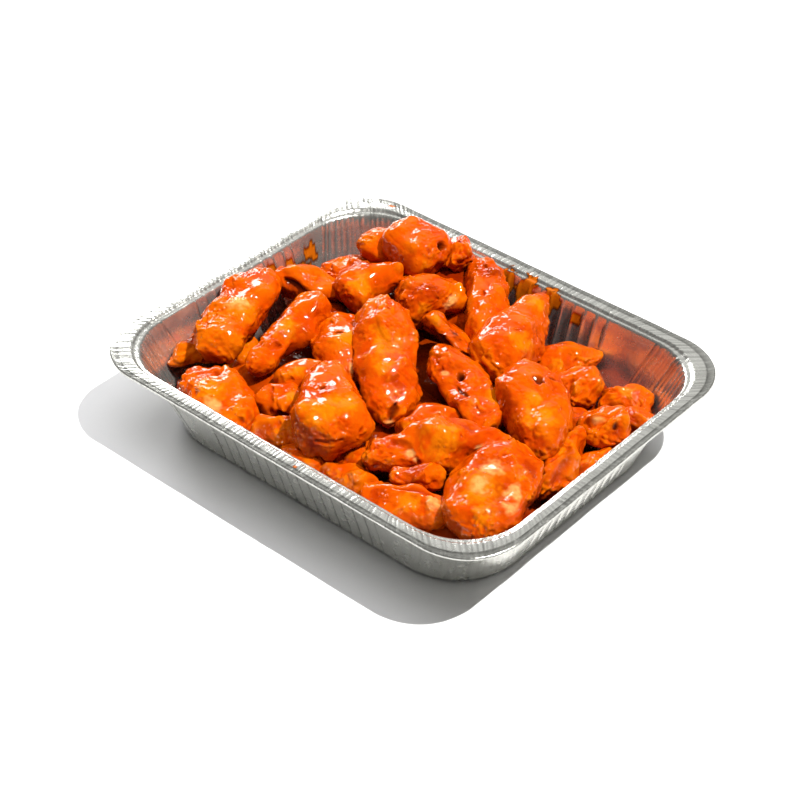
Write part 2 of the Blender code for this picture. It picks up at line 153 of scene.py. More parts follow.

# What stands out on each visible piece: kind, then place, then size in mm.
# A place is a share of the piece's outline as seen from the camera's side: (-1, 0) is
# its left edge, (0, 1) its top edge and (0, 0) its middle.  A line has two places.
FEATURES = {
    "flat_01": (
        ("crisp", -0.6, -0.1, 15), ("crisp", -0.35, 0.35, 11), ("crisp", 0.0, 0.8, 8),
        ("gold", 0.1, 0.15, 15), ("pale", 0.0, 0.3, 8), ("red", 0.5, -0.45, 8),
        ("knob", -0.9, -0.25, 5)),
    "flat_02": (
        ("slit", -0.55, 0.1, -0.05, -0.4, 4), ("ridge", -0.8, 0.5, 0.2, 0.4, 4),
        ("gold", -0.4, 0.8, 6), ("crisp", -0.85, 0.0, 5)),
    "drumette_03": (
        ("crisp", -0.5, -0.2, 9), ("groove", -0.95, -0.25, -0.15, -0.35, 4),
        ("gold", -0.1, 0.1, 12), ("red", -0.3, -0.3, 5)),
    "flat_04": (
        ("crisp", 0.0, 0.0, 20), ("hole", 0.55, 0.5, 2), ("red", -0.5, 0.0, 6),
        ("knob", -0.7, -0.2, 5), ("knob", 0.4, 0.7, 5), ("gold", 0.1, -0.3, 4)),
    "piece_05": (("red", 0.0, -0.7, 6), ("gold", 0.1, 0.3, 4)),
    "flat_06": (
        ("ridge", 0.05, 0.95, 0.8, -0.5, 5), ("groove", -0.15, 0.9, 0.55, -0.6, 4),
        ("crisp", -0.8, 0.45, 10), ("crisp", -0.5, 0.1, 7), ("gold", -0.2, 0.2, 13),
        ("pale", -0.1, -0.3, 8), ("pale", -0.35, 0.5, 4), ("red", -0.7, 0.25, 4),
        ("crisp", 0.5, -0.3, 6)),
    "flat_07": (("red", 0.0, 0.0, 26),),
    "piece_08": (("crisp", -0.5, 0.0, 6), ("gold", -0.1, 0.3, 5)),
    "piece_09": (
        ("groove", -0.45, 0.7, -0.4, -0.6, 4), ("gold", 0.35, 0.2, 5),
        ("hole", 0.0, -0.8, 5), ("knob", -0.8, 0.2, 6), ("knob", 0.1, -0.1, 5)),
    "flat_10": (
        ("hole", 0.0, 0.4, 2.4), ("crisp", -0.1, 0.8, 7), ("crisp", -0.8, 0.3, 6),
        ("ridge", 0.75, -0.25, 0.35, -0.85, 4), ("pale", 0.55, -0.55, 4),
        ("crisp", -0.2, -0.5, 6), ("gold", 0.3, 0.2, 8)),
    "drumette_11": (
        ("knob", 0.85, 0.75, 5), ("red", 0.0, 1.0, 7), ("crisp", -0.6, -0.35, 6),
        ("gold", -0.15, 0.1, 12), ("red", 0.7, -0.5, 6)),
    "drumette_12": (
        ("knob", -0.1, 0.95, 6), ("hole", 0.75, 0.05, 5), ("crisp", 0.55, -0.2, 8),
        ("gold", 0.35, -0.55, 6), ("red", -0.3, -0.5, 8)),
    "flat_13": (("pale", 0.4, 0.6, 7), ("crisp", -0.7, 0.3, 6), ("red", 0.3, -0.6, 6)),
    "flat_14": (("crisp", 0.0, 0.3, 14), ("red", 0.0, 0.0, 16), ("knob", -0.5, 0.5, 5)),
    "piece_15": (
        ("crisp", 0.0, 0.0, 16), ("hole", -0.2, 0.8, 2), ("knob", 0.6, 0.5, 5),
        ("knob", -0.5, 0.4, 5), ("red", 0.2, -0.2, 5)),
    "drumette_16": (
        ("ridge", -0.85, 0.0, -0.5, 0.8, 5), ("ridge", -0.5, 0.8, 0.1, 0.95, 4),
        ("groove", -0.65, 0.1, -0.3, 0.6, 3), ("crisp", -0.1, 0.2, 12),
        ("red", -0.1, 0.3, 11), ("pale", 0.5, 0.0, 5), ("crisp", 0.45, 0.1, 8),
        ("knob", 0.75, 0.45, 6), ("gold", 0.7, 0.45, 5), ("gold", -0.2, -0.35, 6),
        ("slit", 0.3, -0.55, 0.65, -0.5, 3)),
    "piece_17": (("red", 0.0, 0.0, 14), ("knob", 0.1, 0.3, 6)),
    "drumette_18": (
        ("crisp", 0.0, 0.8, 12), ("red", 0.0, 0.75, 13), ("ridge", 0.1, 0.1, 0.8, -0.8, 4),
        ("groove", -0.3, 0.2, 0.3, -0.7, 4), ("knob", 0.5, 0.7, 6), ("gold", 0.5, -0.5, 6)),
    "drumette_19": (
        ("gold", 0.7, 0.7, 8), ("crisp", -0.6, -0.45, 7), ("red", 0.6, -0.35, 2.5),
        ("ridge", -0.7, -0.45, -0.35, -0.8, 4), ("slit", -0.1, -0.6, 0.1, -0.8, 3),
        ("gold", 0.3, -0.05, 12), ("groove", 0.1, 0.2, 0.8, -0.1, 3)),
    "flat_20": (
        ("dark", -0.3, -0.3, 13), ("ridge", -0.8, 0.8, 0.8, -0.7, 4),
        ("slit", -0.5, 0.1, 0.5, -0.6, 5), ("gold", -0.5, 0.7, 5)),
    "flat_21": (
        ("crisp", -0.1, 0.85, 9), ("crisp", 0.75, 0.4, 6), ("crisp", 0.5, 0.0, 5),
        ("ridge", 0.05, -0.3, 0.4, -0.22, 3), ("crisp", 0.2, -0.5, 9),
        ("slit", 0.2, -0.6, 0.15, -0.85, 3), ("pale", 0.1, -0.9, 4), ("knob", 0.9, -0.2, 5),
        ("gold", -0.1, 0.3, 15), ("gold", 0.0, -0.1, 9), ("red", 0.3, -0.3, 7)),
    "flat_22": (
        ("ridge", -0.9, 0.9, -0.3, 0.75, 4), ("crisp", -0.55, 0.6, 7),
        ("pale", -0.55, 0.45, 3), ("hole", -0.2, 0.4, 3), ("slit", -0.35, 0.2, 0.05, -0.1, 2),
        ("crisp", 0.3, -0.3, 7), ("gold", 0.7, -0.1, 7), ("red", -0.2, -0.3, 8)),
    "drumette_23": (("crisp", 0.6, 0.0, 10), ("gold", -0.1, 0.2, 7)),
    "piece_24": (
        ("crisp", 0.0, 0.0, 16), ("groove", -0.1, 0.6, 0.1, -0.5, 3),
        ("knob", -0.2, -0.7, 5), ("gold", -0.2, -0.7, 5), ("knob", 0.6, -0.3, 5),
        ("hole", -0.3, -0.1, 2.5)),
    "flat_25": (("red", 0.0, 0.0, 22), ("crisp", 0.3, 0.0, 7)),
    "drumette_26": (
        ("slit", -0.05, 0.7, 0.25, 0.6, 4.5), ("hole", 0.6, 0.7, 3), ("gold", -0.25, 0.3, 8),
        ("gold", 0.0, -0.1, 12), ("red", 0.0, -0.7, 5), ("red", -0.85, 0.2, 9),
        ("crisp", 0.1, -0.85, 6), ("groove", -0.5, -0.6, 0.3, -0.75, 3)),
    "flat_27": (
        ("crisp", 0.3, 0.1, 9), ("slit", -0.1, -0.3, 0.4, -0.2, 3), ("pale", -0.05, -0.5, 3),
        ("red", -0.5, -0.2, 8), ("gold", 0.0, 0.7, 8)),
    "piece_28": (
        ("crisp", 0.0, 0.0, 18), ("hole", 0.2, 0.0, 2.5), ("knob", -0.5, 0.5, 5),
        ("knob", 0.6, 0.2, 5), ("red", 0.3, -0.1, 6), ("pale", -0.4, 0.4, 3)),
    "piece_29": (("crisp", 0.0, 0.0, 14), ("red", 0.0, 0.0, 8), ("knob", -0.3, 0.3, 4)),
    "drumette_30": (
        ("crisp", -0.8, 0.0, 11), ("groove", -0.6, 0.4, -0.25, -0.45, 5),
        ("pale", -0.42, -0.1, 4), ("pale", -0.3, -0.4, 3), ("gold", 0.1, 0.2, 17),
        ("pale", 0.7, 0.1, 4), ("red", 0.55, 0.2, 5), ("red", 0.0, -0.8, 10),
        ("knob", -0.85, -0.2, 6), ("groove", 0.35, 0.5, 0.55, -0.3, 3)),
    "piece_31": (("crisp", 0.0, 0.0, 12), ("red", 0.0, -0.3, 10)),
    "flat_32": (("crisp", 0.1, 0.3, 5), ("gold", -0.6, -0.3, 6), ("red", 0.5, 0.2, 6)),
    "flat_33": (
        ("gold", -0.15, 0.1, 19), ("gold", -0.2, -0.4, 12), ("pale", 0.4, 0.05, 7),
        ("pale", 0.35, -0.3, 6), ("pale", -0.3, 0.15, 6), ("pale", -0.05, 0.5, 8),
        ("crisp", 0.55, 0.4, 8), ("crisp", 0.3, 0.75, 7), ("crisp", -0.5, 0.4, 6),
        ("red", 0.1, 0.0, 1.8), ("red", 0.75, 0.5, 8), ("crisp", 0.7, -0.1, 6),
        ("ridge", 0.45, 0.7, 0.75, 0.0, 3), ("knob", 0.45, 0.95, 4), ("dent", 0.1, 0.05, 6)),
    "flat_34": (
        ("crisp", 0.6, 0.2, 8), ("pale", 0.55, 0.3, 5), ("groove", -0.2, 0.7, 0.5, 0.5, 4),
        ("gold", 0.0, 0.1, 9), ("red", -0.6, 0.5, 6)),
    "piece_35": (("red", 0.0, 0.2, 10), ("crisp", 0.2, 0.1, 8), ("gold", 0.5, 0.5, 4)),
    "drumette_36": (
        ("hole", -0.2, 0.55, 2), ("crisp", 0.5, 0.5, 6), ("groove", 0.7, 0.6, 0.8, -0.4, 3),
        ("gold", -0.2, 0.0, 16), ("gold", 0.4, 0.15, 9), ("red", -0.4, -0.7, 7),
        ("groove", -0.3, -0.7, 0.35, -0.6, 3), ("crisp", 0.8, -0.5, 5)),
    "flat_37": (("crisp", 0.4, 0.3, 7), ("pale", -0.8, 0.4, 3), ("gold", 0.0, -0.2, 5)),
    "piece_38": (("crisp", 0.0, 0.0, 12), ("red", -0.5, 0.0, 6)),
    "flat_39": (
        ("groove", 0.3, 0.5, -0.4, -0.7, 4), ("gold", 0.0, 0.4, 7), ("crisp", 0.2, 0.7, 7),
        ("red", -0.3, -0.4, 7)),
    "piece_40": (("red", 0.0, 0.0, 12), ("crisp", 0.2, 0.4, 8)),
    "piece_41": (("crisp", 0.0, 0.3, 9), ("red", 0.0, -0.4, 8)),
    "flat_42": (("red", 0.0, 0.0, 14),),
}
# height in mm for each mm of size, colour channel, and that channel's strength
KINDS = {
    "crisp": (0.0, "crisp", 0.9),
    "gold": (0.0, "gold", 0.9),
    # red patches, dents and grooves are painted red: sauce colour, and painted shade on shaded
    # sides and in creases
    "red": (0.0, "red", 0.7),
    "pale": (0.0, "pale", 0.7),
    # the dark kind, holes and slits are painted with shade
    "dark": (-0.1, "dark", 0.9),
    "dent": (-0.18, "red", 0.25),
    "hole": (-1.5, "dark", 1.2),
    "slit": (-0.9, "dark", 0.9),
    "groove": (-0.45, "red", 0.8),
    "ridge": (0.42, "gold", 0.45),
    "knob": (0.45, "gold", 0.3),
}
SHAPED = ("hole", "slit", "groove", "ridge", "knob", "dent")
SEEN_POINTS = 60                # points among which the front-most is picked


# ---------------------------------------------------------------- noise
TABLE_SIZE = 1024
LATTICE_PRIMES = (73856093, 19349663, 83492791)
SEED_PRIME = 2654435761
NOISE_GAIN = 1.6
BUBBLE_WANDER = 0.38            # how far a bubble lies from its cell's middle, in cells
BUBBLE_REACH = 0.36             # its radius squared, in cells


def unit(value):
    """The values held between 0 and 1."""
    return np.clip(value, 0.0, 1.0)


def gradient_table():
    """Unit vectors in random directions."""
    rng = np.random.default_rng(SEED)
    table = rng.normal(size=(TABLE_SIZE, 3))
    return table / np.linalg.norm(table, axis=1)[:, None]


GRADIENTS = gradient_table()


def lattice_key(cells, seed):
    """Which gradient belongs to each whole-numbered cell."""
    mixed = seed * SEED_PRIME
    for axis, prime in enumerate(LATTICE_PRIMES):
        mixed = mixed ^ (cells[:, axis] * prime)
    return (mixed ^ (mixed >> 13)) & (TABLE_SIZE - 1)


def noise(points, size, seed):
    """Smooth noise from about -1 to 1, with features SIZE across (one or three values)."""
    scaled = points / size
    base = np.floor(scaled).astype(np.int64)
    part = scaled - base
    ease = part ** 3 * (part * (part * 6.0 - 15.0) + 10.0)
    total = np.zeros(len(points))
    for corner in itertools.product((0, 1), repeat=3):
        corner = np.array(corner)
        gradient = GRADIENTS[lattice_key(base + corner, seed)]
        weight = np.where(corner == 1, ease, 1.0 - ease).prod(axis=1)
        total += weight * ((part - corner) * gradient).sum(axis=1)
    return NOISE_GAIN * total


def bubbles(points, size, seed):
    """Round bumps from 0 to 1, about one in each cell of SIZE."""
    scaled = points / size
    base = np.floor(scaled).astype(np.int64)
    nearest = np.full(len(points), 9.0)
    for corner in itertools.product((-1, 0, 1), repeat=3):
        cell = base + np.array(corner)
        centre = cell + 0.5 + BUBBLE_WANDER * GRADIENTS[lattice_key(cell, seed)]
        nearest = np.minimum(nearest, ((scaled - centre) ** 2).sum(axis=1))
    return unit(1.0 - nearest / BUBBLE_REACH)


# ---------------------------------------------------------------- mesh helpers
def read_points(mesh):
    points = np.zeros(len(mesh.vertices) * 3, np.float32)
    mesh.vertices.foreach_get("co", points)
    return points.reshape(-1, 3).astype(float)


def write_points(mesh, points):
    mesh.vertices.foreach_set("co", points.astype(np.float32).ravel())
    mesh.update()


def read_edges(mesh):
    edges = np.zeros(len(mesh.edges) * 2, np.int32)
    mesh.edges.foreach_get("vertices", edges)
    return edges.reshape(-1, 2)


def read_normals(mesh):
    normals = np.zeros(len(mesh.vertices) * 3, np.float32)
    mesh.vertex_normals.foreach_get("vector", normals)
    return normals.reshape(-1, 3).astype(float)


def relax(points, edges, rounds, share=0.5):
    """Move each point towards the mean of its neighbours."""
    count = len(points)
    degree = np.bincount(edges.ravel(), minlength=count).astype(float)
    for _ in range(rounds):
        total = np.empty_like(points)
        for axis in range(3):
            ahead = np.bincount(edges[:, 0], points[edges[:, 1], axis], count)
            behind = np.bincount(edges[:, 1], points[edges[:, 0], axis], count)
            total[:, axis] = ahead + behind
        points = points + share * (total / degree[:, None] - points)
    return points


def baked(obj):
    """The object's mesh with its modifiers applied; the object is removed."""
    depsgraph = bpy.context.evaluated_depsgraph_get()
    mesh = bpy.data.meshes.new_from_object(obj.evaluated_get(depsgraph))
    bpy.data.objects.remove(obj)
    return mesh


def put(name, mesh, material):
    """A smooth-shaded object in the scene."""
    mesh.materials.clear()
    mesh.materials.append(material)
    mesh.shade_smooth()
    obj = bpy.data.objects.new(name, mesh)
    bpy.context.scene.collection.objects.link(obj)
    return obj


def remeshed(mesh, step):
    """The mesh rebuilt from voxels of STEP millimetres."""
    obj = bpy.data.objects.new("remesh", mesh)
    bpy.context.scene.collection.objects.link(obj)
    remesh = obj.modifiers.new("remesh", "REMESH")
    remesh.mode = "VOXEL"
    remesh.voxel_size = step * MM
    return baked(obj)


def subdivided(mesh, levels):
    obj = bpy.data.objects.new("subdivide", mesh)
    bpy.context.scene.collection.objects.link(obj)
    subdivision = obj.modifiers.new("subdivide", "SUBSURF")
    subdivision.levels = levels
    subdivision.render_levels = levels
    return baked(obj)


# ---------------------------------------------------------------- wings
def is_under(node):
    """Whether the node is one of the plain pieces below the visible ones."""
    return node.startswith("under")


def piece_axes(points):
    """Rows are the piece's long, middle and short directions."""
    centred = points - points.mean(axis=0)
    _, directions = np.linalg.eigh(centred.T @ centred)
    return directions.T[::-1]


def roughen_margins(points, axes, normals, seed, crispness):
    """Crispness with the piece's ends and lower sides made rougher, and where its ends are."""
    along = points @ axes[0]
    reach = np.abs(along - (along.min() + along.max()) / 2.0)
    ends = unit((reach / reach.max() - 0.60) / 0.35)
    ends = ends * unit(0.45 + 1.4 * noise(points, 11.0, seed + 9))
    margin = unit((0.60 - normals[:, 2]) / 0.35)
    margin = margin * unit(0.35 + 1.6 * noise(points, 12.0, seed + 12))
    rough = np.maximum(END_CRISPNESS * ends, MARGIN_CRISPNESS * margin)
    return np.maximum(crispness, rough), ends


def skin_height(points, axes, skin, seed, crispness, ends):
    """The skin's smooth swellings and its fine detail, in mm, for each point."""
    lumps, folds, pimples, crisp, _ = SKINS[skin]
    local = points @ axes.T
    swelling = 1.9 * lumps * noise(points, LUMP_SIZE, seed)
    swelling += (0.8 * lumps + 1.4 * ends) * noise(points, SMALL_LUMP_SIZE, seed + 10)
    swelling += 0.5 * folds * noise(local, RIPPLE_SIZE, seed + 1)
    fold = np.abs(noise(local, FOLD_SIZE, seed + 2))
    swelling -= 0.4 * folds * unit(1.0 - fold / 0.16) ** 1.5
    wrinkle = 1.0 - np.abs(noise(points, WRINKLE_SIZE, seed + 11)) / 0.2
    swelling += 0.9 * crispness * np.clip(wrinkle, -0.5, 1.0)

    patch = unit(-0.2 + 2.0 * noise(points, PATCH_SIZE, seed + 3))
    bumpy = np.maximum(patch, crispness)
    detail = pimples * bumpy * (bubbles(points, PIMPLE_SIZE, seed + 4) - 0.3)
    detail += 0.15 * noise(points, GRAIN_SIZE, seed + 8)
    crust = 0.8 - np.abs(noise(points, CRUST_SIZE, seed + 6)) / 0.4
    crisp_patch = unit(0.3 + 1.5 * noise(points, CRISP_PATCH_SIZE, seed + 5))
    amount = np.maximum(crisp * crisp_patch, crispness)
    blisters = bubbles(points, BLISTER_SIZE, seed + 7)
    detail += amount * (0.8 * np.clip(crust, -0.4, 1.0) + 0.9 * blisters)
    return swelling, detail


def warped(points, seed, share):
    """The points pushed about by broad and by small unevenness, in every direction."""
    shift = np.zeros_like(points)
    for axis in range(3):
        shift[:, axis] = (WARP * noise(points, WARP_SIZE, seed + 13 + axis)
                          + SMALL_WARP * noise(points, SMALL_WARP_SIZE, seed + 16 + axis))
    return points + share * shift


def keep_in_tray(points):
    """The points held inside the tray's walls, above its floor and in the CAD's box."""
    points = points.copy()
    high = np.array(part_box("foil_tray")[1]) / MM
    points[:, 2] = np.clip(points[:, 2], CLEARANCE, CAD_BOX[1][2] / MM)
    inset = wall_inset(np.minimum(points[:, 2], WALL_RISE)) + CLEARANCE
    half_x = high[0] - inset
    half_y = high[1] - inset
    points[:, 0] = np.clip(points[:, 0], -half_x, half_x)
    points[:, 1] = np.clip(points[:, 1], -half_y, half_y)
    beyond_x = np.maximum(np.abs(points[:, 0]) - half_x + BASE_CORNER, 0.0)
    beyond_y = np.maximum(np.abs(points[:, 1]) - half_y + BASE_CORNER, 0.0)
    away = np.hypot(beyond_x, beyond_y)
    pull = np.where(away > BASE_CORNER, 1.0 - BASE_CORNER / np.maximum(away, 1.0), 0.0)
    points[:, 0] -= np.sign(points[:, 0]) * pull * beyond_x
    points[:, 1] -= np.sign(points[:, 1]) * pull * beyond_y
    return points


def seen_frame():
    """Unit vectors to the right, up and towards the camera."""
    azimuth = math.radians(CAMERA_AZIMUTH)
    elevation = math.radians(CAMERA_ELEVATION)
    right = np.array((math.cos(azimuth), math.sin(azimuth), 0.0))
    back = np.array((math.sin(azimuth) * math.cos(elevation),
                     -math.cos(azimuth) * math.cos(elevation),
                     math.sin(elevation)))
    return right, np.cross(back, right), back


def seen_place(points, across, upward):
    """The front-most point at these shares of the outline seen from the camera's side."""
    right, up, back = seen_frame()
    flat = np.stack((points @ right, points @ up), axis=1)
    low, high = flat.min(axis=0), flat.max(axis=0)
    wanted = (low + high) / 2.0 + np.array((across, upward)) * (high - low) / 2.0
    away = np.linalg.norm(flat - wanted, axis=1)
    near = np.argsort(away)[:SEEN_POINTS]
    return points[near[np.argmax(points[near] @ back - 3.0 * away[near])]]


def distance_to_line(points, first, second):
    """Distances in mm, and how far along the line each point lies (-1 if it is a dot)."""
    along = second - first
    if not along.any():
        return np.linalg.norm(points - first, axis=1), np.full(len(points), -1.0)
    share = unit((points - first) @ along / (along @ along))
    return np.linalg.norm(points - first - share[:, None] * along, axis=1), share


def apply_features(node, points, looks):
    """Raise or sink the skin at the node's features and colour them."""
    raised = np.zeros(len(points))
    wobble = 0.45 * noise(points, 6.0, 40) + 0.3 * noise(points, 2.6, 41)
    for kind, *rest in FEATURES.get(node, ()):
        size = rest[-1]
        places = [seen_place(points, *rest[:2])]
        if len(rest) > 3:
            places.append(seen_place(points, *rest[2:4]))
        height, channel, strength = KINDS[kind]
        away, share = distance_to_line(points, places[0], places[-1])
        away = away / size
        if kind in SHAPED:
            taper = np.where(share < 0.0, 1.0, 0.45 + 0.55 * np.sin(math.pi * share))
            uneven = away / taper + 0.35 * wobble
            fade = unit(1.0 - uneven ** 2)
            raised += height * size * fade ** 1.5
        else:
            fade = unit(1.7 * (1.0 - away - wobble))
        looks[channel] = np.maximum(looks[channel], strength * fade)
    return raised


def core_mesh(node):
    """The node's own solid, rounded off and swollen a little."""
    mesh = remeshed(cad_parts[node].data.copy(), CORE_STEP)
    edges = read_edges(mesh)
    write_points(mesh, relax(read_points(mesh), edges, CORE_SMOOTHING))
    swell = UNDER_SWELL if is_under(node) else SWELL
    write_points(mesh, read_points(mesh) + swell * MM * read_normals(mesh))
    return mesh


def grow_wing(node, material):
    """A detailed piece grown from one CAD node."""
    mesh = remeshed(core_mesh(node), UNDER_STEP if is_under(node) else REMESH_STEP)
    write_points(mesh, relax(read_points(mesh), read_edges(mesh), SMOOTHING))
    if not is_under(node):
        mesh = subdivided(mesh, 1)
    points = read_points(mesh) / MM
    normals = read_normals(mesh)
    looks = {name: np.zeros(len(points)) for name in ("gold", "dark", "red", "pale", "crisp")}
    shaped = apply_features(node, points, looks)
    seed = SEED * int(node[-2:])
    axes = piece_axes(points)
    looks["crisp"], ends = roughen_margins(points, axes, normals, seed, looks["crisp"])
    skin = SKIN_OF.get(node, UNDER_SKIN)
    swelling, detail = skin_height(points, axes, skin, seed, looks["crisp"], ends)
    rise = (shaped + swelling + detail)[:, None] * normals
    points = warped(points, seed, SKINS[skin][-1]) + rise
    write_points(mesh, keep_in_tray(points) * MM)

    # sauce runs down the sides and gathers in the hollows, painted redder there, which is also
    # painted shade; high spots wear thin
    hollow_sauce_and_shade = np.clip(-0.25 * swelling - 1.3 * detail, 0.0, 0.8)
    side = np.clip(SIDE_SAUCE_AND_SHADE - 0.9 * normals[:, 2], 0.0, 0.7)
    high = np.clip(0.7 * detail + 0.25 * swelling, 0.0, 0.6)
    # under pieces: redder with sauce and painted shade, darker with painted shade
    if is_under(node):
        side += UNDER_RED_AND_SHADE
        looks["dark"] += UNDER_PAINTED_SHADE
    paint(mesh, "look", (np.maximum(looks["gold"], high),
                         unit(np.maximum(looks["red"], hollow_sauce_and_shade) + side),
                         unit(looks["dark"])))
    paint(mesh, "finish", (looks["pale"], looks["crisp"], np.zeros(len(points))))
    piece = put(node + "_skin", mesh, material)
    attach(piece, "root")
    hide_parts(node)
    return piece


def paint(mesh, name, channels):
    """Store three values for each point as a colour attribute."""
    values = np.ones((len(channels[0]), 4), np.float32)
    for index, channel in enumerate(channels):
        values[:, index] = channel
    attribute = mesh.color_attributes.new(name, "FLOAT_COLOR", "POINT")
    attribute.data.foreach_set("color", values.ravel())


# ---------------------------------------------------------------- foil tray
RIM_CORNER = 42.0
BASE_CORNER = 45.0
WALL_DRAFT = 31.0         # how far the wall's foot lies inside the rim's outline
WALL_RISE = 57.0
WALL_LEAN = 18.2          # how far the wall leans outwards over its rise
WALL_FOOT = 4.5           # the wall starts at this height, above a rounded edge
WALL_TOP = 53.0
FOOT_ROUND = 4.2
FOOT_FLUTE = 0.6          # share of the flutes' depth at the foot
BOTTOM_INSET = 60.0       # the bottom's flat middle starts this far from the rim
BOTTOM_RISE = 0.3
BEAD_MIDDLE = (1.75, 58.3)
BEAD_RADII = (1.7, 1.65)
BEAD_START = 20.0         # degrees below level
BEAD_TURN = 215.0         # degrees
FLANGE_OUTER_EDGE = 3.8
FLANGE_WIDTH = 5.6
FLANGE_HEIGHT = 59.0
FLANGE_CROWN = 0.15
FLUTE_PITCH = 9.0
FLUTE_DEPTH = 1.5
GROOVE_SHARPNESS = 5.0
FLUTES = (15, 10, 15, 10)
FOIL = 0.6
FOOT_STEPS = 6
OUTER_WALL_STEPS = 12
INNER_WALL_STEPS = 14
BEAD_STEPS = 10
FLANGE_STEPS = 8
CORNER_STEPS = 60
FLUTE_STEPS = 10
PLAIN_STEP = 1.2
PLEAT_SPACING = (2.6, 5.2)
PLEAT_DEPTH = 1.3
CRIMP_SPACING = (1.9, 4.4)
LEDGE_CRIMP = 0.35
BEAD_SHADE = 0.28         # painted shade on the rolled edge, darker than the flange
POOL_HEIGHT = 12.0        # sauce lies on the tray's inside up to about here, painted dark, partly as painted shade
CRUMPLE_RISE = 6.0        # the foil is smooth at the bottom, fully crumpled from here up

# what a station on the rim belongs to, and the parts of the cross-section in order
CORNER, STRAIGHT = range(2)
(OUTER_BOTTOM, OUTER_WALL, UNDER_RIM, BEAD, FLANGE, STEP_DOWN, LEDGE, INNER_WALL,
 INNER_BOTTOM) = range(9)
# how far crimps sink each part, how much painted shade they put on it, and how much more in corners
CRIMPS = {
    UNDER_RIM: (0.3, 0.5, 0.0),
    BEAD: (0.12, 0.5, 0.0),
    FLANGE: (0.42, 0.8, 0.3),
    STEP_DOWN: (0.42, 0.8, 0.3),
    LEDGE: (0.0, 0.3, 0.5),
}
# how much painted shade pleats put on the walls at the corners
PLEAT_SHADES = {OUTER_WALL: 0.8, INNER_WALL: 1.0}

# sauce left on the foil: place in mm, then size in mm
SMEARS = (
    (-146, 62, 44, 7), (-144, 52, 34, 8), (-142, 58, 26, 7), (-146, 40, 42, 6),
    (-147, 24, 47, 5), (-147, 12, 46, 4),
    (-16, 118, 50, 9), (2, 118, 49, 11), (22, 118, 51, 8), (12, 113, 34, 5), (44, 117, 48, 5),
    (146, 22, 46, 2.5), (145, -12, 40, 2.2), (144, 42, 36, 2.6), (143, -32, 38, 2),
    (145, 8, 34, 1.8), (-140, 123, 59, 3), (-126, 127, 59, 2.4), (20, -127, 59, 1.6),
)


def wall_inset(height):
    """How far the wall stands inside the rim's outline at this height."""
    return WALL_DRAFT - WALL_LEAN * height / WALL_RISE


def tray_stations():
    """(kind, side, share or angle, place along the rim) round the tray, one row each."""
    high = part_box("foil_tray")[1]
    half_x = high.x / MM
    half_y = high.y / MM
    rows = []
    run = 0.0
    for side, flutes in enumerate(FLUTES):
        start = math.radians(-90.0 + 90.0 * (side - 1))
        for step in range(CORNER_STEPS):
            share = step / CORNER_STEPS
            rows.append((CORNER, side, start + share * math.pi / 2.0, run))
            run += RIM_CORNER * math.pi / 2.0 / CORNER_STEPS
        half_run = (half_x if side % 2 == 0 else half_y) - RIM_CORNER
        fluted = flutes * FLUTE_PITCH / 2.0
        plain = half_run - fluted
        plain_steps = round(plain / PLAIN_STEP)
        for step in range(plain_steps):
            rows.append((STRAIGHT, side, -1.0 - (1.0 - step / plain_steps), run))
            run += plain / plain_steps
        fluted_steps = flutes * FLUTE_STEPS
        for step in range(fluted_steps):
            rows.append((STRAIGHT, side, -1.0 + 2.0 * step / fluted_steps, run))
            run += 2.0 * fluted / fluted_steps
        for step in range(plain_steps):
            rows.append((STRAIGHT, side, 1.0 + step / plain_steps, run))
            run += plain / plain_steps
    return rows, run


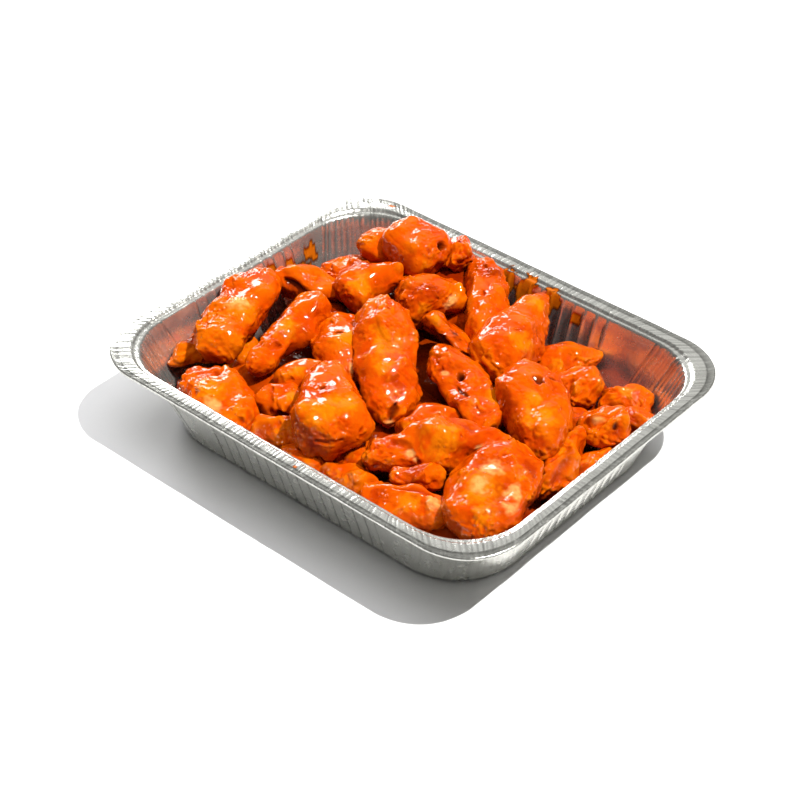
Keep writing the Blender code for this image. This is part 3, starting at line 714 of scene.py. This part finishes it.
def tray_section():
    """(inset, height, flute share, part) down the outside, over the rim, down the inside."""
    rise = WALL_TOP - WALL_FOOT
    flute_gain = 1.0 - FOOT_FLUTE
    rows = [(BOTTOM_INSET, BOTTOM_RISE, 0.0, OUTER_BOTTOM)]
    for step in range(FOOT_STEPS + 1):
        angle = math.pi / 2.0 * step / FOOT_STEPS
        inset = wall_inset(WALL_FOOT) + FOOT_ROUND * (1.0 - math.sin(angle))
        height = WALL_FOOT * (1.0 - math.cos(angle))
        rows.append((inset, height, FOOT_FLUTE * math.sin(angle), OUTER_WALL))
    for step in range(1, OUTER_WALL_STEPS + 1):
        height = WALL_FOOT + rise * step / OUTER_WALL_STEPS
        flute = FOOT_FLUTE + flute_gain * step / OUTER_WALL_STEPS
        rows.append((wall_inset(height), height, flute, OUTER_WALL))
    rows += [
        (12.9, 55.2, 0.6, OUTER_WALL),
        (11.6, 57.0, 0.15, UNDER_RIM),
        (9.4, 57.8, 0.0, UNDER_RIM),
        (6.0, 58.2, 0.0, UNDER_RIM),
        (3.4, 58.2, 0.0, UNDER_RIM),
    ]
    for step in range(BEAD_STEPS + 1):
        angle = math.radians(-BEAD_START - BEAD_TURN * step / BEAD_STEPS)
        inset = BEAD_MIDDLE[0] + BEAD_RADII[0] * math.cos(angle)
        height = BEAD_MIDDLE[1] + BEAD_RADII[1] * math.sin(angle)
        rows.append((inset, height, 0.0, BEAD))
    rows.append((3.3, 58.7, 0.0, FLANGE))
    rows.append((FLANGE_OUTER_EDGE, FLANGE_HEIGHT, 0.0, FLANGE))
    for step in range(1, FLANGE_STEPS + 1):
        inset = FLANGE_OUTER_EDGE + FLANGE_WIDTH * step / FLANGE_STEPS
        height = FLANGE_HEIGHT + FLANGE_CROWN * math.sin(math.pi * step / FLANGE_STEPS)
        rows.append((inset, height, 0.0, FLANGE))
    rows += [
        (10.0, 58.5, 0.0, STEP_DOWN),
        (10.6, 57.6, 0.0, STEP_DOWN),
        (11.3, 57.25, 0.0, LEDGE),
        (12.3, 57.3, 0.0, LEDGE),
        (13.1, 56.9, 0.05, LEDGE),
        (13.6, 55.6, 0.3, INNER_WALL),
    ]
    for step in range(INNER_WALL_STEPS + 1):
        height = WALL_TOP - rise * step / INNER_WALL_STEPS
        flute = 1.0 - flute_gain * step / INNER_WALL_STEPS
        rows.append((wall_inset(height) + FOIL, height, flute, INNER_WALL))
    for step in range(1, FOOT_STEPS + 1):
        angle = math.pi / 2.0 * step / FOOT_STEPS
        inset = wall_inset(WALL_FOOT) + FOIL + FOOT_ROUND * (1.0 - math.cos(angle))
        height = FOIL + WALL_FOOT * (1.0 - math.sin(angle))
        rows.append((inset, height, FOOT_FLUTE * math.cos(angle), INNER_BOTTOM))
    rows.append((BOTTOM_INSET, FOIL + BOTTOM_RISE, 0.0, INNER_BOTTOM))
    return rows


def tray_grid():
    """The shell's points, as rings x stations x 3 in mm, and how much painted shade each gets in
    folds and along the rolled edge.
    """
    stations, run = tray_stations()
    section = tray_section()
    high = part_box("foil_tray")[1]
    kind = np.array([row[0] for row in stations])
    side = np.array([row[1] for row in stations])
    value = np.array([row[2] for row in stations])
    along = np.array([row[3] for row in stations])
    corner_x = np.array((-1, 1, 1, -1))[side]
    corner_y = np.array((-1, -1, 1, 1))[side]
    normal_x = np.array((0, 1, 0, -1))[side]
    normal_y = np.array((-1, 0, 1, 0))[side]
    fluted = np.array(FLUTES)[side] * FLUTE_PITCH / 2.0

    rng = np.random.default_rng(SEED)
    pleats = pleat_profile(along, run, rng, *PLEAT_SPACING)
    crimps = pleat_profile(along, run, rng, *CRIMP_SPACING)
    in_corner = np.where(kind == CORNER, 1.0, 0.0)
    share = (value * fluted / FLUTE_PITCH + 0.5 * np.array(FLUTES)[side]) % 1.0
    groove = np.abs(2.0 * share - 1.0) ** GROOVE_SHARPNESS
    on_flutes = (kind == STRAIGHT) & (np.abs(value) <= 1.0)
    flute = np.where(on_flutes, groove, 0.0)

    grid = np.zeros((len(section), len(stations), 3))
    # painted shade of the foil, from 0 to 1
    folds = np.zeros(grid.shape[:2])
    for index, (inset, height, amount, part) in enumerate(section):
        half_x = high.x / MM - inset
        half_y = high.y / MM - inset
        radius = RIM_CORNER + (BASE_CORNER - RIM_CORNER) * min(inset, WALL_DRAFT) / WALL_DRAFT
        half_run = np.where(normal_y != 0, half_x, half_y) - radius
        straight = np.where(
            np.abs(value) <= 1.0,
            value * fluted,
            np.sign(value) * (fluted + (np.abs(value) - 1.0) * (half_run - fluted)))
        push = FLUTE_DEPTH * amount * flute
        # painted shade in the flutes' grooves
        folds[index] = amount * flute ** 2
        # painted shade in the pleats at the corners
        if part in PLEAT_SHADES:
            rise = height / WALL_RISE
            push = push + in_corner * (0.25 + 0.75 * rise) * PLEAT_DEPTH * pleats
            folds[index] += PLEAT_SHADES[part] * rise * in_corner * pleats
        sink, shade, corner_shade = CRIMPS.get(part, (0.0, 0.0, 0.0))
        # painted shade in the crimps
        crimp_shade = (shade + corner_shade * in_corner) * crimps
        # painted shade along the rolled edge
        if part == BEAD:
            crimp_shade = BEAD_SHADE + crimp_shade
        if part == LEDGE:
            push = push + LEDGE_CRIMP * crimps * (0.4 + 0.6 * in_corner)
        folds[index] += crimp_shade
        arc_x = corner_x * (half_x - radius) + (radius - push) * np.cos(value)
        arc_y = corner_y * (half_y - radius) + (radius - push) * np.sin(value)
        line_x = normal_x * (half_x - push) - normal_y * straight
        line_y = normal_y * (half_y - push) + normal_x * straight
        grid[index, :, 0] = np.where(kind == CORNER, arc_x, line_x)
        grid[index, :, 1] = np.where(kind == CORNER, arc_y, line_y)
        grid[index, :, 2] = height - sink * crimps
    # a broken line of painted shade where the bead meets the flange
    bead_crease_shade = np.array([part == FLANGE and inset <= FLANGE_OUTER_EDGE
                            for inset, _, _, part in section])
    broken = noise(np.stack((along, along, along), axis=1), 9.0, 5)
    folds += bead_crease_shade[:, None] * unit(0.9 + broken)[None, :]
    return grid, unit(folds)


def pleat_profile(along, run, rng, least, most):
    """Narrow folds at uneven spacing: 1 in a fold's bottom, 0 between folds."""
    place = 0.0
    profile = np.zeros(len(along))
    while place < run:
        width = rng.uniform(0.7, 1.5)
        depth = rng.uniform(0.35, 1.0)
        away = np.abs((along - place + run / 2.0) % run - run / 2.0)
        profile = np.maximum(profile, depth * unit(1.0 - away / width))
        place += rng.uniform(least, most)
    return profile


def crumple(points):
    """Small unevenness of handled foil."""
    shift = np.zeros_like(points)
    for axis in range(3):
        shift[:, axis] = (0.28 * noise(points, 24.0, 700 + axis)
                          + 0.10 * noise(points, 7.0, 710 + axis))
    return shift


def smeared(points):
    """How thickly each point of the foil is covered with sauce, from 0 to 1."""
    cover = np.zeros(len(points))
    ragged = 0.5 * noise(points, 5.0, 720) + 0.3 * noise(points, 2.2, 721)
    for *place, size in SMEARS:
        away = np.linalg.norm(points - np.array(place), axis=1) / size
        cover = np.maximum(cover, unit(4.0 * (1.0 - away - ragged)))
    return cover


def build_tray(material):
    """The foil tray's shell: rings of points joined by quads, closed at both ends."""
    grid, folds = tray_grid()
    rings, count, _ = grid.shape
    points = grid.reshape(-1, 3)
    above = unit(points[:, 2] / CRUMPLE_RISE)
    points = points + crumple(points) * above[:, None]
    low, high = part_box("foil_tray")
    points = np.clip(points, np.array(low) / MM, np.array(high) / MM)
    ring = np.arange(rings - 1)[:, None] * count
    here = np.arange(count)[None, :]
    after = (np.arange(count)[None, :] + 1) % count
    beyond = ring + count
    quads = np.stack((ring + here, ring + after, beyond + after, beyond + here), axis=2)
    faces = quads.reshape(-1, 4).tolist()
    faces.append(list(range(count))[::-1])
    faces.append([(rings - 1) * count + index for index in range(count)])
    mesh = bpy.data.meshes.new("foil_tray_shell")
    mesh.from_pydata((points * MM).tolist(), [], faces)
    inside = np.repeat(np.arange(rings) > rings // 2, count)
    # sauce at the bottom of the inside, painted dark: partly painted shade
    pooled_sauce_and_shade = unit((POOL_HEIGHT - points[:, 2]) / 4.0 + noise(points, 9.0, 722))
    paint(mesh, "shade_and_sauce_marks", (folds.ravel(), smeared(points) * inside, pooled_sauce_and_shade * inside))
    tray = put("foil_tray_shell", mesh, material)
    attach(tray, "root")
    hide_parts("foil_tray")
    return tray


# ---------------------------------------------------------------- materials
# colours are linear red, green and blue
SAUCE_ORANGE = (0.55, 0.070, 0.0001)
SAUCE_DEEP_ORANGE = (0.49, 0.045, 0.0001)
SAUCE_GOLD = (0.60, 0.150, 0.001)
SAUCE_SPECKLE = (0.42, 0.028, 0.0001)
# red sauce, also used as painted shade in hollows, creases, lower sides and under pieces
SAUCE_RED_AND_SHADE = (0.25, 0.014, 0.0001)
BARE_SKIN = (0.60, 0.33, 0.10)
# painted shade in holes, slits, dark patches and under pieces
HOLLOW_PAINTED_SHADE = (0.045, 0.003, 0.0005)
GOOSE_BUMP_SCALE = 270.0        # bumps per metre
GOOSE_BUMP_EDGE = 0.62          # how far a bump reaches, in cells of the texture
BUMP_HEIGHT = 0.0008            # metres
FOIL_DULL = (0.66, 0.66, 0.61)
FOIL_BRIGHT = (0.82, 0.82, 0.77)
# painted shade in the foil's folds
FOIL_CREASE_SHADE = (0.13, 0.13, 0.115)
CREASE_SHADE_SHARE = 0.74
CREASE_HEIGHT = 0.0006          # metres
FOIL_METALLIC = 0.88
SMEAR_COLOUR = (0.45, 0.10, 0.001)
# sauce at the bottom of the inside, darkened as painted shade
POOL_SAUCE_AND_SHADE = (0.11, 0.010, 0.0004)


def new_material(name):
    material = bpy.data.materials.new(name)
    material.use_nodes = True
    tree = material.node_tree
    return material, tree, tree.nodes["Principled BSDF"]


def add_noise(tree, coordinate, scale, detail=3.0):
    """A noise texture; SCALE is in features per metre."""
    texture = tree.nodes.new("ShaderNodeTexNoise")
    texture.inputs["Scale"].default_value = scale
    texture.inputs["Detail"].default_value = detail
    tree.links.new(coordinate, texture.inputs["Vector"])
    return texture.outputs["Fac"]


def add_range(tree, value, low, high, to_low=0.0, to_high=1.0, shape="LINEAR"):
    """The value stretched from LOW to HIGH onto TO_LOW to TO_HIGH, and held there."""
    node = tree.nodes.new("ShaderNodeMapRange")
    node.interpolation_type = shape
    node.inputs["From Min"].default_value = low
    node.inputs["From Max"].default_value = high
    node.inputs["To Min"].default_value = to_low
    node.inputs["To Max"].default_value = to_high
    tree.links.new(value, node.inputs["Value"])
    return node.outputs["Result"]


def add_mix(tree, share, first, second):
    """Colour mix; FIRST and SECOND are colours or sockets."""
    node = tree.nodes.new("ShaderNodeMix")
    node.data_type = "RGBA"
    tree.links.new(share, node.inputs["Factor"])
    for name, value in (("A", first), ("B", second)):
        socket = [item for item in node.inputs if item.name == name and item.type == "RGBA"][0]
        if isinstance(value, tuple):
            socket.default_value = (*value, 1.0)
        else:
            tree.links.new(value, socket)
    return [item for item in node.outputs if item.type == "RGBA"][0]


def add_math(tree, operation, first, second):
    """The operation on two values, each a number or a socket."""
    node = tree.nodes.new("ShaderNodeMath")
    node.operation = operation
    for index, value in enumerate((first, second)):
        if isinstance(value, (int, float)):
            node.inputs[index].default_value = value
        else:
            tree.links.new(value, node.inputs[index])
    return node.outputs["Value"]


def add_bump(tree, height, strength, distance):
    """A bump from a 0 to 1 height; DISTANCE is its full height in metres."""
    node = tree.nodes.new("ShaderNodeBump")
    node.inputs["Strength"].default_value = strength
    node.inputs["Distance"].default_value = distance
    tree.links.new(height, node.inputs["Height"])
    return node.outputs["Normal"]


def add_channels(tree, name):
    """The three channels of a colour attribute."""
    attribute = tree.nodes.new("ShaderNodeAttribute")
    attribute.attribute_name = name
    split = tree.nodes.new("ShaderNodeSeparateColor")
    tree.links.new(attribute.outputs["Color"], split.inputs["Color"])
    return split.outputs["Red"], split.outputs["Green"], split.outputs["Blue"]


def sauce_material():
    """Wet orange sauce over skin, with browned and bare parts, red with sauce and painted shade,
    and painted shade in holes.
    """
    material, tree, shader = new_material("sauced_skin")
    coordinate = tree.nodes.new("ShaderNodeTexCoord").outputs["Object"]
    gold, red, dark = add_channels(tree, "look")
    pale, crisp, _ = add_channels(tree, "finish")

    # broad drifts of colour, golden patches and fine speckles
    broad = add_range(tree, add_noise(tree, coordinate, 60.0), 0.35, 0.65)
    patchy = add_range(tree, add_noise(tree, coordinate, 160.0), 0.45, 0.75)
    fine = add_range(tree, add_noise(tree, coordinate, 420.0, 4.0), 0.35, 0.7)
    colour = add_mix(tree, broad, SAUCE_ORANGE, SAUCE_DEEP_ORANGE)
    golden = add_math(tree, "MAXIMUM", gold, add_math(tree, "MULTIPLY", patchy, 0.25))
    colour = add_mix(tree, golden, colour, SAUCE_GOLD)
    speckled = add_math(tree, "MULTIPLY", fine, 0.25)
    colour = add_mix(tree, speckled, colour, SAUCE_SPECKLE)
    # red sauce, partly painted shade in hollows, creases and on lower sides
    colour = add_mix(tree, red, colour, SAUCE_RED_AND_SHADE)
    speckled_pale = add_math(tree, "MULTIPLY", pale, add_range(tree, fine, 0.0, 1.0, 1.0, 0.6))
    colour = add_mix(tree, speckled_pale, colour, BARE_SKIN)
    # painted shade in holes, slits, dark patches and under pieces
    colour = add_mix(tree, dark, colour, HOLLOW_PAINTED_SHADE)
    tree.links.new(colour, shader.inputs["Base Color"])

    rough = add_range(tree, fine, 0.0, 1.0, 0.24, 0.44)
    tree.links.new(rough, shader.inputs["Roughness"])
    shader.inputs["Coat Weight"].default_value = 1.0
    shader.inputs["Coat Roughness"].default_value = 0.045
    shader.inputs["Coat IOR"].default_value = 1.35
    shader.inputs["IOR"].default_value = 1.4
    shader.inputs["Specular IOR Level"].default_value = 0.0

    # goose bumps, stronger where the skin is crisp, over a fine grain; the wet
    # sauce over them is smoother and rises in low domes
    cells = tree.nodes.new("ShaderNodeTexVoronoi")
    cells.feature = "SMOOTH_F1"
    cells.inputs["Scale"].default_value = GOOSE_BUMP_SCALE
    cells.inputs["Smoothness"].default_value = 0.2
    tree.links.new(coordinate, cells.inputs["Vector"])
    domes = add_range(tree, cells.outputs["Distance"], 0.0, GOOSE_BUMP_EDGE, 1.0, 0.0, "SMOOTHSTEP")
    spread = add_range(tree, add_noise(tree, coordinate, 95.0), 0.46, 0.62, 0.0, 0.8)
    spread = add_math(tree, "MAXIMUM", spread, add_math(tree, "MULTIPLY", crisp, 0.9))
    domes = add_math(tree, "MULTIPLY", domes, spread)
    grain = add_math(tree, "MULTIPLY", add_noise(tree, coordinate, 700.0, 2.0), 0.15)
    skin = add_bump(tree, add_math(tree, "ADD", domes, grain), 0.7, BUMP_HEIGHT)
    tree.links.new(skin, shader.inputs["Normal"])
    tree.links.new(add_bump(tree, domes, 1.0, BUMP_HEIGHT), shader.inputs["Coat Normal"])
    return material


def foil_material():
    """Bright foil with painted shade in its folds and along its rolled edge, orange where sauce
    lies on it, and dark sauce with painted shade at the bottom of the inside.
    """
    material, tree, shader = new_material("foil")
    coordinate = tree.nodes.new("ShaderNodeTexCoord").outputs["Object"]
    # painted shade in the folds, sauce smears, and dark sauce with painted shade at the bottom
    fold, smear, pooled_sauce_and_shade = add_channels(tree, "shade_and_sauce_marks")
    sauced = add_math(tree, "MAXIMUM", smear, pooled_sauce_and_shade)
    metal = add_range(tree, sauced, 0.5, 1.0, FOIL_METALLIC, 0.0)
    tree.links.new(metal, shader.inputs["Metallic"])
    tint = add_mix(tree, add_noise(tree, coordinate, 60.0), FOIL_DULL, FOIL_BRIGHT)
    # painted shade in the folds and along the rolled edge
    shaded = add_math(tree, "MULTIPLY", fold, CREASE_SHADE_SHARE)
    tint = add_mix(tree, shaded, tint, FOIL_CREASE_SHADE)
    tint = add_mix(tree, add_range(tree, smear, 0.0, 0.5), tint, SMEAR_COLOUR)
    # dark sauce with painted shade at the bottom of the inside
    tint = add_mix(tree, add_range(tree, pooled_sauce_and_shade, 0.0, 0.5), tint, POOL_SAUCE_AND_SHADE)
    tree.links.new(tint, shader.inputs["Base Color"])
    rough = add_range(tree, add_noise(tree, coordinate, 180.0), 0.3, 0.7, 0.19, 0.30)
    tree.links.new(rough, shader.inputs["Roughness"])
    creases = add_noise(tree, coordinate, 260.0, 5.0)
    tree.links.new(add_bump(tree, creases, 0.30, CREASE_HEIGHT), shader.inputs["Normal"])
    return material


# ---------------------------------------------------------------- stage
def build_floor():
    mesh = bpy.data.meshes.new("floor")
    corners = [(x * FLOOR_HALF, y * FLOOR_HALF, 0.0)
               for x, y in ((-1, -1), (1, -1), (1, 1), (-1, 1))]
    mesh.from_pydata(corners, [], [(0, 1, 2, 3)])
    material, _, shader = new_material("pale_floor")
    shader.inputs["Base Color"].default_value = FLOOR_COLOUR
    shader.inputs["Roughness"].default_value = 0.9
    shader.inputs["Specular IOR Level"].default_value = 0.1
    mesh.materials.append(material)
    floor = bpy.data.objects.new("floor", mesh)
    bpy.context.scene.collection.objects.link(floor)


def aim(obj, direction):
    """Turn a light so that it shines from DIRECTION."""
    obj.rotation_euler = Vector(direction).to_track_quat("Z", "Y").to_euler()


def build_lights():
    sun = bpy.data.lights.new("sun", "SUN")
    sun.energy = SUN_ENERGY
    sun.angle = math.radians(SUN_ANGLE)
    sun.color = SUN_COLOUR
    sun_object = bpy.data.objects.new("sun", sun)
    bpy.context.scene.collection.objects.link(sun_object)
    aim(sun_object, SUN_DIRECTION)

    for name, direction, width, height, radiance, glossy in SOFTBOXES:
        softbox = bpy.data.lights.new(name, "AREA")
        softbox.shape = "RECTANGLE"
        softbox.size = width
        softbox.size_y = height
        softbox.energy = radiance * math.pi * width * height
        softbox_object = bpy.data.objects.new(name, softbox)
        bpy.context.scene.collection.objects.link(softbox_object)
        softbox_object.location = SOFTBOX_DISTANCE * Vector(direction).normalized()
        softbox_object.visible_glossy = glossy
        aim(softbox_object, direction)

    world = bpy.data.worlds.new("studio")
    world.use_nodes = True
    background = world.node_tree.nodes["Background"]
    background.inputs["Color"].default_value = (1.0, 1.0, 1.0, 1.0)
    background.inputs["Strength"].default_value = WORLD_STRENGTH
    bpy.context.scene.world = world
    bpy.context.scene.view_settings.view_transform = "Standard"


def build_camera():
    azimuth = math.radians(CAMERA_AZIMUTH)
    elevation = math.radians(CAMERA_ELEVATION)
    roll = math.radians(CAMERA_ROLL)
    back = Vector((math.sin(azimuth) * math.cos(elevation),
                   -math.cos(azimuth) * math.cos(elevation),
                   math.sin(elevation)))
    right = Vector((0.0, 0.0, 1.0)).cross(back).normalized()
    up = back.cross(right)
    rolled_right = math.cos(roll) * right + math.sin(roll) * up
    rolled_up = math.cos(roll) * up - math.sin(roll) * right
    place = (Vector(TARGET) + CAMERA_DISTANCE * back
             + CAMERA_ASIDE[0] * rolled_right + CAMERA_ASIDE[1] * rolled_up)
    matrix = Matrix((rolled_right, rolled_up, back)).transposed().to_4x4()
    matrix.translation = place * MM
    data = bpy.data.cameras.new("camera")
    data.lens = LENS
    data.sensor_width = SENSOR_WIDTH
    data.clip_end = CLIP_END
    camera = bpy.data.objects.new("camera", data)
    camera.matrix_world = matrix
    bpy.context.scene.collection.objects.link(camera)
    bpy.context.scene.camera = camera


# ---------------------------------------------------------------- build
build_camera()
build_floor()
build_lights()
FOIL_FINISH = foil_material()
SAUCE_FINISH = sauce_material()
build_tray(FOIL_FINISH)
for node_name in sorted(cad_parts):
    if node_name != "foil_tray":
        grow_wing(node_name, SAUCE_FINISH)
